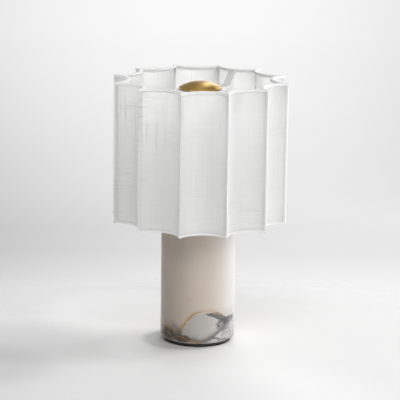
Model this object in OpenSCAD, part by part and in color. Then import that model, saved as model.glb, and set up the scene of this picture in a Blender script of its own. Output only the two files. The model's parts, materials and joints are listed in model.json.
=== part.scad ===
// Table lamp: a marble column that holds a rechargeable battery, an LED head,
// a fluted fabric shade that lifts off, and a brass dome that is its dimmer button.
// Millimetres, +Z up, origin in the middle of the underside of the foot.
// The charging port is at the back, towards +Y.

/* [Foot] */
// Diameter of the foot pad and the base plate
foot_d = 94; // [90:1:97]
// Thickness of the rubber pad
pad_h = 2; // [1.5:0.5:4]
// Thickness of the steel base plate
plate_h = 3; // [2.5:0.5:5]

/* [Marble column] */
// Diameter of the column
column_d = 105; // [102:1:112]
// Height of the column
column_h = 195; // [190:1:230]
// Radius of the lower edge
lower_edge_r = 5; // [2:0.5:5]
// Radius of the upper edge
upper_edge_r = 2; // [1:0.5:4]
// Diameter of the cavity bored from below
cavity_d = 68; // [67:0.5:70]
// Depth of the cavity
cavity_h = 119; // [118:1:135]

/* [Base fixings] */
// Number of screws that hold the base plate
base_screw_count = 3; // [3:1:6]
// Thread diameter of the base screws
base_screw_d = 4; // [3:0.5:4.5]
// Length of the base screws
base_screw_l = 13; // [10:1:16]
// Outer diameter of the brass inserts
insert_d = 6.4; // [6:0.1:7]
// Length of the brass inserts
insert_l = 12; // [10:1:16]

/* [Battery] */
// Diameter of a cell
cell_d = 18.4; // [18:0.1:18.8]
// Length of a cell
cell_h = 65; // [60:1:66]
// Diameter of the carrier and the cap on the cells
carrier_d = 60; // [59:0.5:61]
// Height of the carrier block
carrier_h = 20; // [16:1:24]
// Floor under the cells
carrier_floor = 3; // [2:0.5:5]
// Height of the cap block
battery_cap_h = 6; // [5:0.5:8]
// Depth of the sockets in the cap block
cap_socket_h = 3; // [2:0.5:4]
// Radius of the circle of spacers
post_ring_r = 25; // [24.5:0.25:25.5]
// Diameter of the spacers
post_d = 5; // [4.5:0.1:5.5]
// Thread diameter of the small screws
small_screw_d = 3; // [2.5:0.1:3.2]
// Length of the carrier screws
carrier_screw_l = 32; // [29:1:36]
// Length of the board screws
board_screw_l = 26; // [22:1:30]

/* [Control board] */
// Diameter of the control board
board_d = 66; // [65.5:0.1:66.4]
// Thickness of every circuit board
board_t = 1.6; // [1:0.1:2]
// Height of the boss under the control board
board_boss_h = 8; // [6:1:10]
// Diameter of those bosses
board_boss_d = 7; // [6:0.5:8]
// Height of the tallest part on the board
board_part_h = 8; // [4:1:9]

/* [Charging port] */
// Height of the port above the underside of the marble
port_z = 20; // [16:1:24]
// Diameter of the plug that holds the port
port_plug_d = 15.8; // [14:0.1:18]
// Width of the port's metal shell
port_w = 9; // [8.8:0.1:9.4]
// Height of the port's metal shell
port_h = 3.3; // [3.1:0.1:3.5]
// Depth of the port's metal shell
port_depth = 7.4; // [7:0.1:10]
// Wall of the port's metal shell
port_wall = 0.35; // [0.25:0.05:0.4]
// Diameter of the lead to the port
port_lead_d = 1.5; // [1:0.1:1.6]
// Diameter of the lead through the stem
main_lead_d = 4; // [3:0.5:6]

/* [Stem] */
// Outer diameter of the threaded stem
stem_d = 10; // [9:0.5:12]
// Bore of the stem
stem_bore_d = 7; // [6.5:0.1:7.5]
// How far the stem reaches below its nut
stem_tail = 3; // [1:0.5:4]
// Width of the stem nut across its flats
nut_w = 17; // [16:0.5:22]
// Height of the stem nut
nut_h = 8; // [5:0.5:9]
// Diameter of the washer under the cavity's ceiling
washer_d = 44; // [30:1:60]
// Thickness of that washer
washer_h = 3; // [2:0.5:4]

/* [Light source] */
// Diameter of the metal cap on the column
column_cap_d = 84; // [80:1:98]
// Thickness of the cap on the column
column_cap_h = 4; // [3:0.5:6]
// Height of the lips that centre the diffuser
lip_h = 4; // [3:0.5:6]
// Outer diameter of the diffuser
diffuser_d = 76; // [74:0.5:78]
// Wall of the diffuser
diffuser_wall = 2.5; // [2:0.1:3]
// Height of the diffuser
diffuser_h = 145; // [130:1:160]
// Width of the heat sink across its flats
sink_w = 30; // [26:1:34]
// Width of an LED strip
strip_w = 11; // [9:0.5:12]
// Thickness of an LED strip
strip_t = 1.5; // [1:0.1:2]
// Height left bare at each end of the heat sink
strip_margin = 4; // [3:1:8]
// Number of LEDs on a strip
led_count = 9; // [6:1:10]
// Side of an LED
led_w = 3.5; // [2.8:0.1:5]
// Thickness of an LED
led_t = 0.8; // [0.6:0.1:1.2]

/* [Head] */
// Diameter of the flange that carries the shade
flange_d = 80; // [80:0.5:84]
// Thickness of that flange
flange_h = 3; // [2:0.5:4]
// Diameter of the raised top that centres the shade
spigot_d = 65.4; // [65:0.1:65.6]
// Height of the raised top above the flange
spigot_h = 8.5; // [7:0.5:9]
// Wall and roof of the head cap
head_wall = 2.5; // [2:0.1:3]
// Thickness of the top plate
top_plate_h = 4; // [3:0.5:5]
// Height of the spacers under the switch board
spacer_h = 3.5; // [2.5:0.5:4]
// Diameter of the spacers and of the bosses above them
spacer_d = 8; // [7:0.5:9]
// Radius of the circle of head screws
head_screw_ring_r = 24; // [22:0.5:25]
// Length of the head screws
head_screw_l = 19; // [16:1:21]
// Diameter of the switch board
switch_board_d = 58; // [57:0.5:59]

/* [Dimmer button] */
// Diameter of the brass dome
dome_d = 60; // [54:0.5:62]
// Height of the dome
dome_h = 8.6; // [7:0.1:11]
// Wall of the dome
dome_wall = 1; // [0.8:0.1:1.2]
// Gap between the dome's edge and the head cap
dome_gap = 2.5; // [2.2:0.1:4]
// Travel of the button
press_travel = 1.5; // [0.5:0.1:1.6]
// Diameter of the button's shaft
shaft_d = 6; // [5:0.5:7]
// Running clearance of the shaft in its bush, on the radius
shaft_clearance = 0.05; // [0.03:0.01:0.08]
// Diameter of the disc brazed inside the dome
disc_d = 18; // [15:0.5:22]
// Least thickness of that disc
disc_h = 1.6; // [1.2:0.1:2]
// Outer diameter of the guide bush
bush_d = 10; // [9.5:0.5:12]
// Diameter of the bush's flange
bush_flange_d = 17; // [15:0.5:20]
// Thickness of the bush's flange
bush_flange_h = 1; // [0.8:0.1:1.5]
// Length of the bush below the roof
bush_reach = 7; // [5:0.5:7.5]
// Thickness of the stop clip
clip_h = 0.8; // [0.6:0.1:1]
// Diameter of the stop clip
clip_d = 10; // [9:0.5:11]
// How far the shaft reaches below the clip
shaft_tail = 1.1; // [0.8:0.1:1.5]
// Mean diameter of the spring
spring_d = 11; // [10:0.5:13]
// Wire of the spring
spring_wire = 0.7; // [0.5:0.1:0.8]
// Turns of the spring
spring_turns = 4; // [3:1:5]

/* [Shade] */
// Diameter over the ribs
shade_d = 250; // [220:1:300]
// Height of the shade
shade_h = 200; // [190:1:220]
// Number of hollow flutes
flutes = 12; // [9:3:15]
// Depth of a flute
flute_depth = 18.6; // [14:0.1:19]
// Turn of the shade on its seat, to the first rib
shade_turn = 18; // [0:1:30]
// Thickness of the fabric on its backing
fabric_t = 0.8; // [0.5:0.1:1.2]
// Width of the shade rings
ring_w = 3; // [2:0.5:4]
// Height of the shade rings
ring_h = 3; // [2:0.5:4]
// Diameter of the rib wires
rib_d = 2.4; // [1.6:0.1:2.8]
// Height of the binding
binding_h = 3.5; // [3:0.5:6]
// Thickness of the binding
binding_t = 0.9; // [0.5:0.1:1.2]
// Height of the shade's top above its seat
shade_rise = 23; // [20:0.5:30]

/* [Spider] */
// Number of arms
arm_count = 3; // [3:3:3]
// Flute that carries the first arm, counted from the first rib
first_arm_flute = 1; // [0:1:3]
// Width of an arm
arm_w = 10; // [8:0.5:12]
// Thickness of an arm
arm_t = 2; // [1.5:0.1:2.5]
// Radius at which an arm bends upwards
arm_bend_r = 82; // [70:1:84]
// Width of the hub ring
hub_w = 10; // [8:0.5:11]
// Thickness of the hub ring
hub_h = 2; // [1.5:0.1:2.5]
// Diameter of a rivet's shank
rivet_d = 3; // [2.5:0.1:4]
// Diameter of a rivet's head
rivet_head_d = 6; // [5:0.5:7]
// Height of a rivet's head
rivet_head_h = 1.2; // [0.8:0.1:1.5]

/* [Clearances] */
// Gap between a screw and the hole it passes through, on the radius
screw_gap = 0.15; // [0.1:0.05:0.3]
// Gap between a plug and its socket, on the radius
plug_gap = 0.1; // [0.05:0.05:0.2]
// Gap between a battery cell and its socket, on the radius
cell_gap = 0.2; // [0.1:0.05:0.3]
// Gap between the shade's hub ring and the head cap, on the radius
hub_gap = 0.3; // [0.3:0.05:0.5]
// Gap between the shade's fabric and its frame
frame_gap = 0.3; // [0.2:0.1:0.5]
// Gap between the binding and what it wraps
tape_gap = 0.1; // [0.05:0.05:0.2]
// Gap between the button's parts and their stops
stop_gap = 0.1; // [0.05:0.05:0.2]

/* [Hidden] */
$fn = 96;

// Heights of the stack, from the floor up
plate_z = pad_h;
column_z = plate_z + plate_h;
ceiling_z = column_z + cavity_h;
column_top = column_z + column_h;
cap_top = column_top + column_cap_h;
diffuser_top = cap_top + diffuser_h;
seat_z = diffuser_top + flange_h;
head_top = seat_z + spigot_h;

// Foot and marble
column_r = column_d / 2;
cavity_r = cavity_d / 2;
base_screw_ring_r = (cavity_r + foot_d / 2) / 2;
screw_head_ratio = 2;
insert_well = 2;
screw_tip_room = 1;
cut = 1;

// Battery pack, on the base plate
cells_z = column_z + carrier_floor;
cells_top = cells_z + cell_h;
cell_ring_r = (cell_d + 1) / sqrt(2);
post_count = 4;
posts_z = column_z + carrier_h;
battery_cap_z = cells_top - cap_socket_h;
battery_cap_top = battery_cap_z + battery_cap_h;
board_z = battery_cap_top + board_boss_h;
board_top = board_z + board_t;
screw_head_h = 1.8;
inductor_w = board_d * 0.18;
capacitor_d = board_d * 0.12;
chip_w = board_d * 0.14;
connector_w = board_d * 0.09;
cell_tip_h = 1;
cell_tip_d = cell_d * 0.35;

// Stem nut and washer, under the ceiling of the cavity
washer_z = ceiling_z - washer_h;
nut_z = washer_z - nut_h;
stem_z = nut_z - stem_tail;

// Charging port, in the wall of the column at the back
port_height = column_z + port_z;
port_plug_l = column_r - cavity_r;
port_mouth_y = column_r - 0.4;
port_back_y = port_mouth_y - port_depth;
port_board_w = 11;
port_board_in = cavity_r - 1.9;
port_lead_y = port_board_in + port_lead_d / 2;

// Light source
diffuser_ir = diffuser_d / 2 - diffuser_wall;
lip_r = diffuser_ir - plug_gap;
sink_z = cap_top + lip_h;

// Head, under the flange
head_skirt_h = 12;
top_plate_top = diffuser_top - head_skirt_h;
top_plate_z = top_plate_top - top_plate_h;
sink_h = top_plate_z - sink_z;
strip_z = sink_z + strip_margin;
strip_l = sink_h - 2 * strip_margin;
switch_board_z = top_plate_top + spacer_h;
switch_board_top = switch_board_z + board_t;
roof_z = head_top - head_wall;
head_bore_r = spigot_d / 2 - head_wall;
head_screw_count = 3;

// Dimmer button
dome_z = head_top + dome_gap;
dome_top = dome_z + dome_h;
dome_r = (pow(dome_d / 2, 2) + pow(dome_h, 2)) / (2 * dome_h);
dome_centre_z = dome_top - dome_r;
dome_inner_r = dome_r - dome_wall;
disc_top = dome_centre_z + sqrt(pow(dome_inner_r, 2) - pow(disc_d / 2, 2));
disc_z = disc_top - disc_h;
bush_bottom = roof_z - bush_reach;
clip_top = bush_bottom - stop_gap;
clip_z = clip_top - clip_h;
shaft_z = clip_z - shaft_tail;
groove_r = shaft_d / 2 - 0.6;
tact_top = shaft_z - press_travel - stop_gap;
tact_w = 6;
tact_h = 2.6;
tact_plunger_d = 3.5;
spring_z = head_top + bush_flange_h;
spring_h = disc_z - spring_z;

// Shade: each flute is an arc about a centre outside the shade
shade_r = shade_d / 2;
flute_step = 360 / flutes;
half_chord = shade_r * sin(flute_step / 2);
flute_r = (pow(half_chord, 2) + pow(flute_depth, 2)) / (2 * flute_depth);
flute_centre_r = shade_r * cos(flute_step / 2) - flute_depth + flute_r;
shade_top = seat_z + shade_rise;
shade_z = shade_top - shade_h;
tape_t = 0.6;
frame_in = fabric_t + frame_gap;
frame_out = frame_in + ring_w;
wrap_out = frame_out + tape_gap;
rib_r = fold_r(frame_in + rib_d / 2);
top_ring_z = shade_top - tape_t - ring_h;
bottom_ring_z = shade_z + tape_t;
rib_z = bottom_ring_z + ring_h;

// Spider: an arm lies on the hub ring, then bends up to the top ring
hub_r = spigot_d / 2 + hub_gap;
arm_z = seat_z + hub_h;
arm_in_r = hub_r + hub_w * 0.15;
rivet_r = hub_r + hub_w / 2;
arm_end_r = shade_r * cos(flute_step / 2) - flute_depth - frame_out;
arm_end_z = top_ring_z - arm_t * 0.4;
arm_slope = atan2(arm_end_z - arm_z, arm_end_r - arm_bend_r);
arm_turn = shade_turn + (first_arm_flute + 0.5) * flute_step;

// Radius of the fold between two flutes whose arcs are set inwards by a distance
function fold_r(inset) = flute_centre_r * cos(flute_step / 2)
  - sqrt(pow(flute_r + inset, 2) - pow(flute_centre_r * sin(flute_step / 2), 2));

// Copies round the Z axis at one radius
module around(count, radius, turn = 0) {
  for (i = [0 : count - 1])
    rotate(turn + i * 360 / count)
      translate([radius, 0, 0])
        children();
}

module disc(diameter, height, z = 0) {
  translate([0, 0, z]) cylinder(d = diameter, h = height);
}

// Tube with a plain bore
module tube(outer_d, inner_d, height, z = 0) {
  difference() {
    disc(outer_d, height, z);
    disc(inner_d, height + 2 * cut, z - cut);
  }
}

// Flat-headed screw that points up, its head flush at z = 0
module flat_screw(diameter, length, grow = 0) {
  head_d = diameter * screw_head_ratio;
  union() {
    cylinder(d = diameter + 2 * grow, h = length);
    cylinder(d1 = head_d + 2 * grow, d2 = diameter + 2 * grow, h = (head_d - diameter) / 2);
  }
}

module flat_screw_with_recess(diameter, length) {
  difference() {
    flat_screw(diameter, length);
    translate([0, 0, -cut]) cylinder(d = diameter * 0.6, h = cut + diameter * 0.4, $fn = 6);
  }
}

// Pan-headed screw that points down, its head standing on z = 0
module pan_screw(diameter, length) {
  difference() {
    union() {
      cylinder(d = diameter * 1.8, h = screw_head_h);
      translate([0, 0, -length]) cylinder(d = diameter, h = length + cut);
    }
    translate([0, 0, screw_head_h / 2])
      cylinder(d = diameter * 0.8, h = screw_head_h, $fn = 6);
  }
}

module foot_pad() {
  color([0.06, 0.06, 0.06]) disc(foot_d, pad_h);
}

module base_screw_places() {
  around(base_screw_count, base_screw_ring_r, 30) children();
}

module carrier_screw_places() {
  around(post_count, post_ring_r) children();
}

module base_plate() {
  color([0.1, 0.1, 0.1]) difference() {
    disc(foot_d, plate_h, plate_z);
    translate([0, 0, plate_z]) base_screw_places() screw_way(base_screw_d);
    translate([0, 0, plate_z]) carrier_screw_places() screw_way(small_screw_d);
  }
}

// Countersunk hole right through the plate
module screw_way(diameter) {
  flat_screw(diameter, plate_h + cut, screw_gap);
  translate([0, 0, -cut]) cylinder(d = diameter * screw_head_ratio + 2 * screw_gap, h = cut);
}

module base_screws() {
  color([0.35, 0.35, 0.36]) translate([0, 0, plate_z])
    base_screw_places() flat_screw_with_recess(base_screw_d, base_screw_l);
}

module base_inserts() {
  color([0.78, 0.6, 0.3]) translate([0, 0, column_z]) base_screw_places()
    tube(insert_d, base_screw_d, insert_l);
}

module column_outline() {
  square([column_r - lower_edge_r, column_h]);
  translate([0, lower_edge_r]) square([column_r - upper_edge_r, column_h - lower_edge_r]);
  translate([0, lower_edge_r])
    square([column_r, column_h - lower_edge_r - upper_edge_r]);
  translate([column_r - lower_edge_r, lower_edge_r]) circle(r = lower_edge_r);
  translate([column_r - upper_edge_r, column_h - upper_edge_r]) circle(r = upper_edge_r);
}

module marble_column() {
  color([0.86, 0.82, 0.75]) difference() {
    translate([0, 0, column_z]) rotate_extrude() column_outline();
    disc(cavity_d, cavity_h + cut, column_z - cut);
    disc(stem_d + 2 * screw_gap, column_h, ceiling_z - cut);
    translate([0, 0, column_z - cut]) base_screw_places()
      cylinder(d = insert_d + 2 * plug_gap, h = insert_l + insert_well + cut);
    port_hole(port_plug_d + 2 * plug_gap);
  }
}

// Round hole through the back wall of the column
module port_hole(diameter) {
  translate([0, cavity_r - cut, port_height]) rotate([-90, 0, 0])
    cylinder(d = diameter, h = port_plug_l + 2 * cut);
}

module cell_places() {
  around(post_count, cell_ring_r, 45) children();
}

module battery_carrier() {
  color([0.15, 0.15, 0.16]) difference() {
    disc(carrier_d, carrier_h, column_z);
    translate([0, 0, cells_z]) cell_places()
      cylinder(d = cell_d + 2 * cell_gap, h = carrier_h);
    translate([0, 0, column_z - cut]) carrier_screw_places()
      cylinder(d = small_screw_d + 2 * screw_gap, h = carrier_h + 2 * cut);
  }
}

module battery_cells() {
  color([0.2, 0.45, 0.3]) translate([0, 0, cells_z]) cell_places() {
    cylinder(d = cell_d, h = cell_h - cell_tip_h);
    cylinder(d = cell_tip_d, h = cell_h);
  }
}

module battery_cap() {
  color([0.15, 0.15, 0.16]) difference() {
    union() {
      disc(carrier_d, battery_cap_h, battery_cap_z);
      translate([0, 0, battery_cap_z]) carrier_screw_places()
        cylinder(d = board_boss_d, h = battery_cap_h + board_boss_h);
    }
    translate([0, 0, battery_cap_z - cut]) cell_places()
      cylinder(d = cell_d + 2 * cell_gap, h = cap_socket_h + cut);
    translate([0, 0, battery_cap_z - cut]) carrier_screw_places()
      cylinder(d = small_screw_d + 2 * screw_gap, h = battery_cap_h + board_boss_h + 2 * cut);
  }
}

module carrier_posts() {
  color([0.75, 0.6, 0.35]) translate([0, 0, posts_z]) carrier_screw_places()
    tube(post_d, small_screw_d, battery_cap_z - posts_z);
}

module carrier_screws() {
  color([0.35, 0.35, 0.36]) translate([0, 0, plate_z]) carrier_screw_places()
    flat_screw_with_recess(small_screw_d, carrier_screw_l);
}

module control_board() {
  color([0.1, 0.35, 0.2]) difference() {
    disc(board_d, board_t, board_z);
    translate([0, 0, board_z - cut]) carrier_screw_places()
      cylinder(d = small_screw_d + 2 * screw_gap, h = board_t + 2 * cut);
  }
}

// Inductor, two capacitors, the driver and the connector for the lead
module board_parts() {
  color([0.12, 0.12, 0.13]) translate([0, 0, board_top]) {
    on_board(-0.21, -0.24) cube([inductor_w, inductor_w, board_part_h * 0.75]);
    on_board(0.12, -0.21) cylinder(d = capacitor_d, h = board_part_h);
    on_board(-0.18, 0.21) cylinder(d = capacitor_d, h = board_part_h);
    on_board(0.09, 0.09) cube([chip_w, chip_w, board_part_h * 0.2]);
    on_board(0.08, 0.26) cube([2 * connector_w, connector_w, board_part_h * 0.7]);
  }
}

// Place on the control board, in shares of its diameter
module on_board(x, y) {
  translate([x * board_d, y * board_d, 0]) children();
}

module board_screws() {
  color([0.6, 0.6, 0.62]) translate([0, 0, board_top]) carrier_screw_places()
    pan_screw(small_screw_d, board_screw_l);
}

// Slot with round ends, in the XZ plane, drawn towards +Y
module port_slot(width, height, depth) {
  rotate([-90, 0, 0]) linear_extrude(depth) {
    square([width - height, height], center = true);
    translate([(width - height) / 2, 0]) circle(d = height);
    translate([-(width - height) / 2, 0]) circle(d = height);
  }
}

module port_housing() {
  color([0.1, 0.1, 0.1]) difference() {
    intersection() {
      translate([0, cavity_r, port_height]) rotate([-90, 0, 0])
        cylinder(d = port_plug_d, h = port_plug_l + cut);
      disc(column_d - 2 * plug_gap, 2 * port_plug_d, port_height - port_plug_d);
    }
    translate([0, port_back_y - plug_gap, port_height])
      port_slot(port_w + 2 * plug_gap, port_h + 2 * plug_gap, 2 * port_depth);
    translate([-port_board_w / 2 - plug_gap, cavity_r - cut, port_board_z() - plug_gap])
      cube([port_board_w + 2 * plug_gap, port_back_y - cavity_r + cut, board_t + 2 * plug_gap]);
  }
}

function port_board_z() = port_height - board_t / 2;

module port_board() {
  color([0.1, 0.35, 0.2]) translate([-port_board_w / 2, port_board_in, port_board_z()])
    cube([port_board_w, port_back_y - port_board_in - plug_gap, board_t]);
}

module charge_port() {
  color([0.72, 0.72, 0.74]) translate([0, port_back_y, port_height]) {
    difference() {
      port_slot(port_w, port_h, port_depth);
      translate([0, port_depth * 0.2, 0])
        port_slot(port_w - 2 * port_wall, port_h - 2 * port_wall, port_depth);
    }
    translate([-port_w * 0.37, 0, -port_h * 0.11])
      cube([port_w * 0.74, port_depth * 0.85, port_h * 0.22]);
  }
}

module port_lead() {
  color([0.1, 0.1, 0.1])
    translate([0, port_lead_y, port_board_z() + board_t])
      cylinder(d = port_lead_d, h = board_z - port_board_z() - board_t);
}

module main_lead() {
  color([0.85, 0.85, 0.83]) disc(main_lead_d, switch_board_z - board_top, board_top);
}

module stem_tube() {
  color([0.6, 0.6, 0.62]) tube(stem_d, stem_bore_d, top_plate_top - stem_z, stem_z);
}

module stem_washer() {
  color([0.6, 0.6, 0.62]) tube(washer_d, stem_d + 2 * screw_gap, washer_h, washer_z);
}

module stem_nut() {
  color([0.7, 0.6, 0.4]) difference() {
    translate([0, 0, nut_z]) cylinder(d = nut_w / cos(30), h = nut_h, $fn = 6);
    disc(stem_d, nut_h + 2 * cut, nut_z - cut);
  }
}

module column_cap() {
  color([0.93, 0.93, 0.92]) difference() {
    union() {
      disc(column_cap_d, column_cap_h, column_top);
      disc(2 * lip_r, lip_h, cap_top);
    }
    disc(stem_d + 2 * screw_gap, column_cap_h + lip_h + 2 * cut, column_top - cut);
  }
}

module heat_sink() {
  color([0.75, 0.76, 0.78]) difference() {
    translate([0, 0, sink_z]) cylinder(d = sink_w / cos(30), h = sink_h, $fn = 6);
    disc(stem_d + 2 * screw_gap, sink_h + 2 * cut, sink_z - cut);
  }
}

module led_strip() {
  led_step = strip_l / led_count;
  translate([0, -strip_w / 2, 0]) cube([strip_t, strip_w, strip_l]);
  for (i = [0 : led_count - 1])
    translate([strip_t - 0.1, -led_w / 2, (i + 0.5) * led_step - led_w / 2])
      cube([led_t + 0.1, led_w, led_w]);
}

module led_strips() {
  color([0.95, 0.93, 0.8]) translate([0, 0, strip_z])
    around(6, sink_w / 2, 30) led_strip();
}

module diffuser() {
  color([0.95, 0.94, 0.9])
    tube(diffuser_d, diffuser_d - 2 * diffuser_wall, diffuser_h, cap_top);
}

module head_screw_places() {
  around(head_screw_count, head_screw_ring_r, 30) children();
}

module top_plate() {
  color([0.75, 0.76, 0.78]) difference() {
    union() {
      disc(2 * lip_r, top_plate_h, top_plate_z);
      translate([0, 0, top_plate_z]) head_screw_places()
        cylinder(d = spacer_d, h = top_plate_h + spacer_h);
    }
    disc(stem_d, top_plate_h + 2 * cut, top_plate_z - cut);
    translate([0, 0, top_plate_z]) head_screw_places() {
      flat_screw(small_screw_d, top_plate_h + spacer_h + cut, screw_gap);
      translate([0, 0, -cut])
        cylinder(d = small_screw_d * screw_head_ratio + 2 * screw_gap, h = cut);
    }
  }
}

module head_screws() {
  color([0.6, 0.6, 0.62]) translate([0, 0, top_plate_z]) head_screw_places()
    flat_screw_with_recess(small_screw_d, head_screw_l);
}

module head_cap() {
  color([0.94, 0.94, 0.93]) difference() {
    union() {
      disc(2 * lip_r, head_skirt_h + flange_h / 2, top_plate_top);
      disc(flange_d, flange_h, diffuser_top);
      disc(spigot_d, head_top - diffuser_top, diffuser_top);
    }
    difference() {
      disc(2 * head_bore_r, roof_z - top_plate_top + cut, top_plate_top - cut);
      translate([0, 0, switch_board_top]) head_screw_places()
        cylinder(d = spacer_d, h = head_top - switch_board_top);
    }
    translate([0, 0, switch_board_top - cut]) head_screw_places()
      cylinder(d = small_screw_d, h = head_screw_l - switch_board_top + top_plate_z + screw_tip_room + cut);
    disc(bush_d, head_wall + 2 * cut, roof_z - cut);
  }
}

module switch_board() {
  color([0.1, 0.35, 0.2]) difference() {
    disc(switch_board_d, board_t, switch_board_z);
    translate([0, 0, switch_board_z - cut]) head_screw_places()
      cylinder(d = small_screw_d + 2 * screw_gap, h = board_t + 2 * cut);
  }
}

module tact_switch() {
  color([0.12, 0.12, 0.13]) {
    translate([-tact_w / 2, -tact_w / 2, switch_board_top]) cube([tact_w, tact_w, tact_h]);
    disc(tact_plunger_d, tact_top - switch_board_top, switch_board_top);
  }
}

module guide_bush() {
  color([0.92, 0.92, 0.9]) difference() {
    union() {
      disc(bush_d, head_top + bush_flange_h - bush_bottom, bush_bottom);
      disc(bush_flange_d, bush_flange_h, head_top);
    }
    disc(shaft_d + 2 * shaft_clearance, head_top, bush_bottom - cut);
  }
}

module dome() {
  color([0.78, 0.58, 0.25]) intersection() {
    translate([0, 0, dome_centre_z]) difference() {
      sphere(r = dome_r);
      sphere(r = dome_inner_r);
    }
    disc(dome_d + 2 * cut, dome_h + cut, dome_z);
  }
}

module button_stem() {
  color([0.7, 0.68, 0.62]) difference() {
    union() {
      disc(shaft_d, disc_z + disc_h / 2 - shaft_z, shaft_z);
      disc(disc_d, disc_h, disc_z);
    }
    tube(shaft_d + 2 * cut, 2 * groove_r, clip_h, clip_z);
  }
}

module stem_clip() {
  color([0.3, 0.3, 0.32]) tube(clip_d, 2 * groove_r, clip_h, clip_z);
}

// Round wire wound on a helix, as one closed sweep
module coil(mean_d, wire_d, height, turns) {
  sides = 8;
  steps = 20 * turns;
  points = [for (i = [0 : steps]) for (j = [0 : sides - 1])
    let (turn = 360 * turns * i / steps, side = 360 * j / sides,
      reach = mean_d / 2 + wire_d / 2 * cos(side))
    [reach * cos(turn), reach * sin(turn),
      wire_d / 2 + (height - wire_d) * i / steps + wire_d / 2 * sin(side)]];
  walls = [for (i = [0 : steps - 1]) for (j = [0 : sides - 1])
    let (a = i * sides + j, b = i * sides + (j + 1) % sides)
    [a, b, b + sides, a + sides]];
  first_end = [for (j = [sides - 1 : -1 : 0]) j];
  last_end = [for (j = [0 : sides - 1]) steps * sides + j];
  polyhedron(points, concat(walls, [first_end, last_end]), convexity = 10);
}

module return_spring() {
  color([0.6, 0.6, 0.62]) translate([0, 0, spring_z])
    coil(spring_d, spring_wire, spring_h, spring_turns);
}

// Star-shaped plan of the shade with its arcs set inwards, cut off at a tip radius
module fluted_plan(inset, tip_r = shade_r + cut) {
  difference() {
    circle(r = tip_r);
    for (i = [0 : flutes - 1])
      rotate(shade_turn + (i + 0.5) * flute_step)
        translate([flute_centre_r, 0]) circle(r = flute_r + inset);
  }
}

// Wall between two insets, over a height
module fluted_wall(outer, inner, height, z, tip_r = shade_r + cut) {
  translate([0, 0, z]) linear_extrude(height) difference() {
    fluted_plan(outer, tip_r);
    fluted_plan(inner);
  }
}

module shade_fabric() {
  color([0.95, 0.95, 0.94]) fluted_wall(0, fabric_t, shade_h - 2 * tape_t, shade_z + tape_t);
}

module top_ring() {
  color([0.9, 0.9, 0.9]) fluted_wall(frame_in, frame_out, ring_h, top_ring_z);
}

module bottom_ring() {
  color([0.9, 0.9, 0.9]) fluted_wall(frame_in, frame_out, ring_h, bottom_ring_z);
}

module rib_wires() {
  color([0.9, 0.9, 0.9]) translate([0, 0, rib_z])
    around(flutes, rib_r, shade_turn) cylinder(d = rib_d, h = top_ring_z - rib_z);
}

// Folded tape over one rim: an outer wall, an inner wall and the fold that joins them
module binding(z, fold_z) {
  difference() {
    fluted_wall(-binding_t, wrap_out + tape_t, binding_h, z, shade_r + binding_t);
    fluted_wall(-tape_gap, wrap_out, binding_h, fold_z, shade_r + tape_gap);
  }
}

module top_binding() {
  color([0.97, 0.97, 0.97]) difference() {
    binding(shade_top - binding_h, shade_top - tape_t - binding_h);
    arm_places() arm(tape_gap);
  }
}

module bottom_binding() {
  color([0.97, 0.97, 0.97]) binding(shade_z, shade_z + tape_t);
}

module arm_places() {
  around(arm_count, 0, arm_turn) children();
}

// Flat strip that runs level over the hub ring, then up to the top ring
module arm(grow = 0) {
  rise = arm_t / cos(arm_slope);
  knee = arm_t * tan(arm_slope / 2);
  rotate([90, 0, 0]) linear_extrude(arm_w + 2 * grow, center = true)
    polygon([
      [arm_in_r, arm_z - grow],
      [arm_bend_r, arm_z - grow],
      [arm_end_r + cut, arm_end_z - grow + cut * tan(arm_slope)],
      [arm_end_r + cut, arm_end_z + grow + rise + cut * tan(arm_slope)],
      [arm_bend_r - knee, arm_z + arm_t + grow],
      [arm_in_r, arm_z + arm_t + grow]]);
}

module spider_arms() {
  color([0.92, 0.92, 0.92]) difference() {
    intersection() {
      arm_places() arm();
      translate([0, 0, arm_z]) linear_extrude(shade_rise) fluted_plan(frame_out);
    }
    rivet_places() disc(rivet_d, arm_t + 2 * cut, arm_z - cut);
  }
}

module rivet_places() {
  around(arm_count, rivet_r, arm_turn) children();
}

module hub_ring() {
  color([0.92, 0.92, 0.92]) difference() {
    tube(2 * (hub_r + hub_w), 2 * hub_r, hub_h, seat_z);
    rivet_places() disc(rivet_d, hub_h + 2 * cut, seat_z - cut);
  }
}

module spider_rivets() {
  color([0.85, 0.85, 0.85]) rivet_places() {
    disc(rivet_d, hub_h + arm_t, seat_z);
    disc(rivet_head_d, rivet_head_h, arm_z + arm_t);
  }
}

foot_pad();
base_plate();
base_screws();
base_inserts();
marble_column();
battery_carrier();
battery_cells();
battery_cap();
carrier_posts();
carrier_screws();
control_board();
board_parts();
board_screws();
port_housing();
port_board();
charge_port();
port_lead();
main_lead();
stem_tube();
stem_washer();
stem_nut();
column_cap();
heat_sink();
led_strips();
diffuser();
top_plate();
head_screws();
head_cap();
switch_board();
tact_switch();
guide_bush();
dome();
button_stem();
stem_clip();
return_spring();
shade_fabric();
top_ring();
bottom_ring();
rib_wires();
top_binding();
bottom_binding();
spider_arms();
hub_ring();
spider_rivets();
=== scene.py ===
import json
import math

import bmesh
import bpy
from mathutils import Matrix, Vector, noise


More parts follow.
